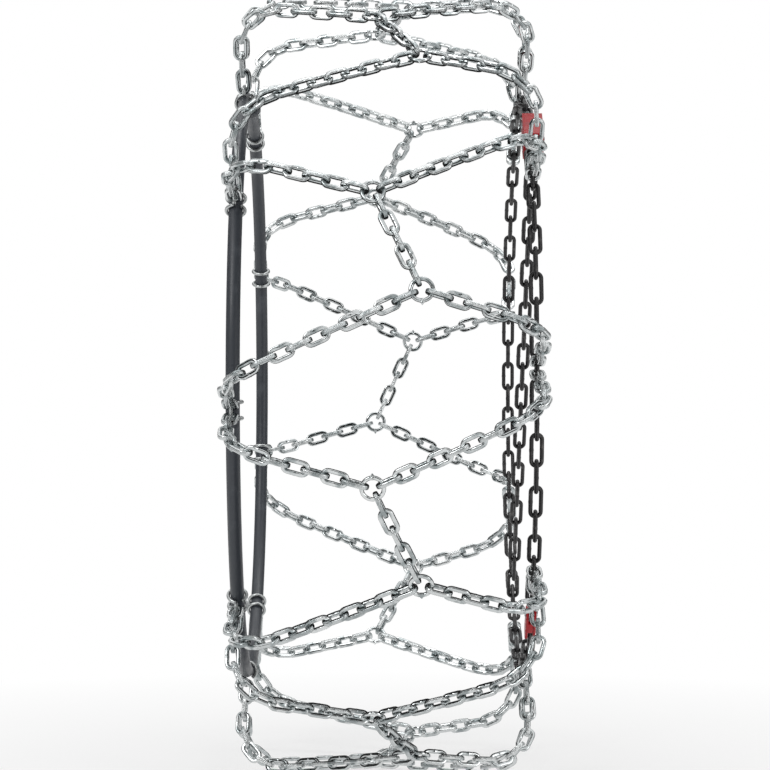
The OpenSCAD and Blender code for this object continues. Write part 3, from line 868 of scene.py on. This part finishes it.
def soften(node, material, body, width):
    """A copy of a CAD node with rounded edges, which stands for it."""
    mesh = nodes[node].data.copy()
    mesh.name = node + "_soft"
    work = bmesh.new()
    work.from_mesh(mesh)
    edge_wear = work.verts.layers.float.new("edge_wear")
    bmesh.ops.remove_doubles(work, verts=work.verts, dist=JOIN_DISTANCE)
    bmesh.ops.dissolve_limit(work, angle_limit=FLAT_ANGLE, verts=work.verts, edges=work.edges)
    sharp = [e for e in work.edges if e.is_manifold and e.calc_face_angle(0) > SHARP_ANGLE]
    bevel = bmesh.ops.bevel(work, geom=sharp, offset=width, offset_type="OFFSET", segments=BEVEL_SEGMENTS,
                            profile=0.5, affect="EDGES", clamp_overlap=True)
    bevel_faces = set(bevel["faces"])
    for vert in work.verts:
        vert[edge_wear] = float(all(face in bevel_faces for face in vert.link_faces))
    work.to_mesh(mesh)
    work.free()
    mesh.materials.clear()
    mesh.materials.append(material)
    piece = bpy.data.objects.new(node + "_finished", mesh)
    bpy.context.scene.collection.objects.link(piece)
    mesh.polygons.foreach_set("use_smooth", np.ones(len(mesh.polygons), bool))
    mesh.set_sharp_from_angle(angle=SHARP_ANGLE)
    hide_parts(node)
    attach(piece, body)
    return piece


PLATE_EDGE, TURNED_EDGE, FERRULE_EDGE = 0.35 * MM, 0.2 * MM, 0.3 * MM
LEVER_EDGE, COLLAR_EDGE = 0.4 * MM, 0.25 * MM
soften("closing_hook_body", red_coat, "net", PLATE_EDGE)
soften("closing_hook_gate", red_coat, "closing_hook_gate", PLATE_EDGE)
soften("closing_hook_rivet", turned_steel, "net", TURNED_EDGE)
soften("lock_housing", red_coat, "net", PLATE_EDGE)
soften("lock_lever", red_coat, "lock_lever", LEVER_EDGE)
soften("lock_roller", turned_steel, "lock_roller", TURNED_EDGE)
soften("hoop_plug_ferrule", turned_steel, "net", FERRULE_EDGE)
soften("hoop_socket_ferrule", turned_steel, "net", FERRULE_EDGE)
soften("hoop_lock_collar", sleeve_plastic, "hoop_lock_collar", COLLAR_EDGE)
print("softened the hook, the lock and the coupling")

# %% [markdown]
# The lock's plates are held by four pins, whose ends are hammered over into low domes.
# The lever's and the roller's pins stand where their joints are, and the two that carry
# the side chain stand one on each side of the lock's middle.

# %% The lock's pin heads
HEAD_RADIUS, HEAD_HEIGHT = 2.5 * MM, 0.9 * MM
HEAD_SIDES, HEAD_ROWS = 24, 6
HEAD_FOOT, HEAD_TOP = -20, 84


def pin_heads(places, faces, radius, height):
    """Low domes on both outer faces (x values) of the lock, one pair at each (y, z) place."""
    points, quads = [], []
    turn = np.linspace(0, 2 * math.pi, HEAD_SIDES, endpoint=False)
    for y, z in places:
        for face, out in zip(faces, (-1, 1)):
            base = len(points)
            for a in np.radians(np.linspace(HEAD_FOOT, HEAD_TOP, HEAD_ROWS)):
                points += [(face + out * height * math.sin(a), y + radius * math.cos(a) * math.cos(t),
                            z + radius * math.cos(a) * math.sin(t)) for t in turn]
            quads += [[int(i) + base for i in q[::out]] for q in grid_quads(HEAD_ROWS, HEAD_SIDES, False)]
            top = base + (HEAD_ROWS - 1) * HEAD_SIDES
            quads.append(list(range(top, top + HEAD_SIDES))[::out])
    return np.array(points), quads


LOCK_TURN = math.radians(58)
LOCK_RADIUS = 239.67 * MM
CHAIN_PIN = 12.32 * MM
LOCK_JOINTS = ("lock_lever_swing", "lock_roller_spin")
lock_low, lock_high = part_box("lock_housing")
lock_places = [j["pos_m"][1:] for j in frame["joints"] if j["name"] in LOCK_JOINTS]
for side in (-1, 1):
    lock_places.append((-LOCK_RADIUS * math.cos(LOCK_TURN) + side * CHAIN_PIN * math.sin(LOCK_TURN),
                        LOCK_RADIUS * math.sin(LOCK_TURN) + side * CHAIN_PIN * math.cos(LOCK_TURN)))
heads = pin_heads(lock_places, (lock_low.x, lock_high.x), HEAD_RADIUS, HEAD_HEIGHT)
make_piece("lock_pin_heads", *heads, turned_steel, "zinc_steel", [], "net")
print("hammered", 2 * len(lock_places), "pin heads")

# %% [markdown]
# The cable core runs inside the sleeve, where nobody sees it. A twisted cable would be
# lost work, so the CAD rod stays, and only gets its steel. It shows when someone takes
# the sleeve off in the exported model.

# %% The hidden core
core = nodes["hoop_core"]
core.data.materials.clear()
core.data.materials.append(core_steel)
print("the core keeps its CAD shape, in", core_steel.name)

# %% [markdown]
# ## Studio
#
# Bright metal shows its surroundings, so a plain white room would wash it out. Large soft
# lamps give long highlights, and a ring of upright dark cards, seen only in reflections,
# gives the dark bands between them. The room itself reads as white to the camera.

# %% White room
ROOM_LIGHT = 0.42


def make_room():
    """White to the camera and in reflections, and dimmer as a light."""
    world = bpy.data.worlds.new("room")
    world.use_nodes = True
    tree = world.node_tree
    background = tree.nodes["Background"]
    ray = tree.nodes.new("ShaderNodeLightPath")
    mirrored = math_node(tree, "MAXIMUM", ray.outputs["Is Glossy Ray"], ray.outputs["Is Transmission Ray"])
    seen = math_node(tree, "MAXIMUM", ray.outputs["Is Camera Ray"], mirrored)
    strength = ranged(tree, seen, 0.0, 1.0, to_low=ROOM_LIGHT, to_high=1.0)
    tree.links.new(strength, background.inputs["Strength"])
    background.inputs["Color"].default_value = (1, 1, 1, 1)
    bpy.context.scene.world = world


make_room()
bpy.context.scene.view_settings.view_transform = "Standard"
print("room light", ROOM_LIGHT)

# %% [markdown]
# Three soft lamps stand at the front left, at the front right and above. The cards
# stand in a ring with gaps between them, further out than the camera. A card that the
# camera, the light and the shadows all ignore can be as large as the reflection needs.

# %% Lamps and cards
CARD_STRIPS = 9
CARD_DISTANCE = 3.4
CARD_LIFT = 0.25
CARD_SIZE = (1.7, 3.8)
CARD_BLACK = (0.012, 0.013, 0.014)


def aimed(thing, place):
    """Puts a stage object at its place, facing the middle of the wheel."""
    thing.location = place
    thing.rotation_euler = Vector(place).to_track_quat("Z", "Y").to_euler()
    bpy.context.scene.collection.objects.link(thing)
    return thing


def add_lamp(name, place, size, watts):
    """A soft rectangular lamp."""
    lamp = bpy.data.lights.new(name, "AREA")
    lamp.shape = "RECTANGLE"
    lamp.size, lamp.size_y = size
    lamp.energy = watts
    aimed(bpy.data.objects.new(name, lamp), place)


def only_reflected(thing):
    """Leaves a stage object to be seen in glossy reflections alone."""
    for ray in ("camera", "diffuse", "shadow", "transmission", "volume_scatter"):
        setattr(thing, "visible_" + ray, False)


def add_card(name, place, size):
    """A dark card that only reflections see."""
    w, h = size[0] / 2, size[1] / 2
    mesh = bpy.data.meshes.new(name)
    mesh.from_pydata([(-w, -h, 0), (w, -h, 0), (w, h, 0), (-w, h, 0)], [], [(0, 1, 2, 3)])
    mesh.materials.append(new_material(name, 0.0, 1.0, CARD_BLACK)[0])
    only_reflected(aimed(bpy.data.objects.new(name, mesh), place))


add_lamp("key_lamp", (-1.6, -2.2, 1.9), (1.2, 1.2), 26)
add_lamp("fill_lamp", (2.2, -1.8, 0.6), (0.8, 1.4), 12)
add_lamp("top_lamp", (0.2, 0.6, 2.6), (1.8, 1.0), 18)
for i in range(CARD_STRIPS):
    turn = 2 * math.pi * (i + 0.5) / CARD_STRIPS
    place = (CARD_DISTANCE * math.sin(turn), -CARD_DISTANCE * math.cos(turn), CARD_LIFT)
    add_card(f"card_{i + 1}", place, CARD_SIZE)
add_card("card_low", (0, -1.2, -2.0), (3.2, 1.0))
print("three lamps and", CARD_STRIPS + 1, "cards")

# %% [markdown]
# A chain is always seen against black rubber, and its inner faces mirror that rubber. A
# curved dark sheet stands where the front of the tread would be. Only reflections see
# it, so it darkens the inner faces of the front links and hides nothing.

# %% Sheet behind the front links
TREAD_SHEET_RADIUS = 0.3
TREAD_SHEET_HALF = 0.1
TREAD_SHEET_TURN, TREAD_SHEET_STEPS = 84, 43
RUBBER_BLACK = (0.012, 0.012, 0.012)


def add_tread_sheet():
    """A strip of a cylinder round the axle, on the side of the camera."""
    turns = np.radians(np.linspace(-TREAD_SHEET_TURN, TREAD_SHEET_TURN, TREAD_SHEET_STEPS))
    ring = np.stack([-TREAD_SHEET_RADIUS * np.cos(turns), TREAD_SHEET_RADIUS * np.sin(turns)], 1)
    points = [(x, y, z) for x in (-TREAD_SHEET_HALF, TREAD_SHEET_HALF) for y, z in ring]
    n = len(ring)
    mesh = bpy.data.meshes.new("tread_sheet")
    mesh.from_pydata(points, [], [(i, i + 1, i + 1 + n, i + n) for i in range(n - 1)])
    mesh.materials.append(new_material("tread_black", 0.0, 0.9, RUBBER_BLACK)[0])
    sheet = bpy.data.objects.new("tread_sheet", mesh)
    bpy.context.scene.collection.objects.link(sheet)
    only_reflected(sheet)


add_tread_sheet()
print("dark sheet at radius", TREAD_SHEET_RADIUS)

# %% [markdown]
# The floor is a wide pale sheet under the lowest links. Close to the chain it is a
# matt surface that takes the shadow, mixed with a painted white glow that the camera and
# reflections see, which lightens that shadow. Further out the glow takes over and turns
# it into the room's white, so that no horizon shows.

# %% Floor
FLOOR_HALF = 9
FLOOR_GAP = 0.5 * MM
FADE_FROM, FADE_TO, LEAST_PAINTED_GLOW = 0.15, 0.8, 0.6


def make_floor():
    """A matt sheet mixed with a painted white glow for the camera and reflections, which lightens its shadow and
    becomes the room's white with distance.
    """
    material, tree, shader = new_material("pale_floor", 0.0, 0.9, (0.93, 0.93, 0.93))
    place = tree.nodes.new("ShaderNodeTexCoord")
    far = tree.nodes.new("ShaderNodeVectorMath")
    far.operation = "LENGTH"
    tree.links.new(place.outputs["Object"], far.inputs[0])
    ray = tree.nodes.new("ShaderNodeLightPath")
    seen = math_node(tree, "MAXIMUM", ray.outputs["Is Camera Ray"], ray.outputs["Is Glossy Ray"])
    # Painted glow: near the chain, the camera and reflections see the floor as at least this share of white
    # emission, which lightens its shadow.
    whiter = ranged(tree, far.outputs["Value"], FADE_FROM, FADE_TO, to_low=LEAST_PAINTED_GLOW, to_high=1.0)
    fade = math_node(tree, "MULTIPLY", whiter, seen)
    glow = tree.nodes.new("ShaderNodeEmission")
    mix = tree.nodes.new("ShaderNodeMixShader")
    tree.links.new(fade, mix.inputs["Fac"])
    tree.links.new(shader.outputs[0], mix.inputs[1])
    tree.links.new(glow.outputs[0], mix.inputs[2])
    tree.links.new(mix.outputs[0], tree.nodes["Material Output"].inputs["Surface"])
    mesh = bpy.data.meshes.new("floor")
    corners = [(FLOOR_HALF * x, FLOOR_HALF * y, 0) for x, y in ((-1, -1), (1, -1), (1, 1), (-1, 1))]
    mesh.from_pydata(corners, [], [(0, 1, 2, 3)])
    mesh.materials.append(material)
    floor = bpy.data.objects.new("floor", mesh)
    floor.location = (0, 0, cad_low.z - FLOOR_GAP)
    bpy.context.scene.collection.objects.link(floor)


make_floor()
print("floor at", round(cad_low.z, 4))
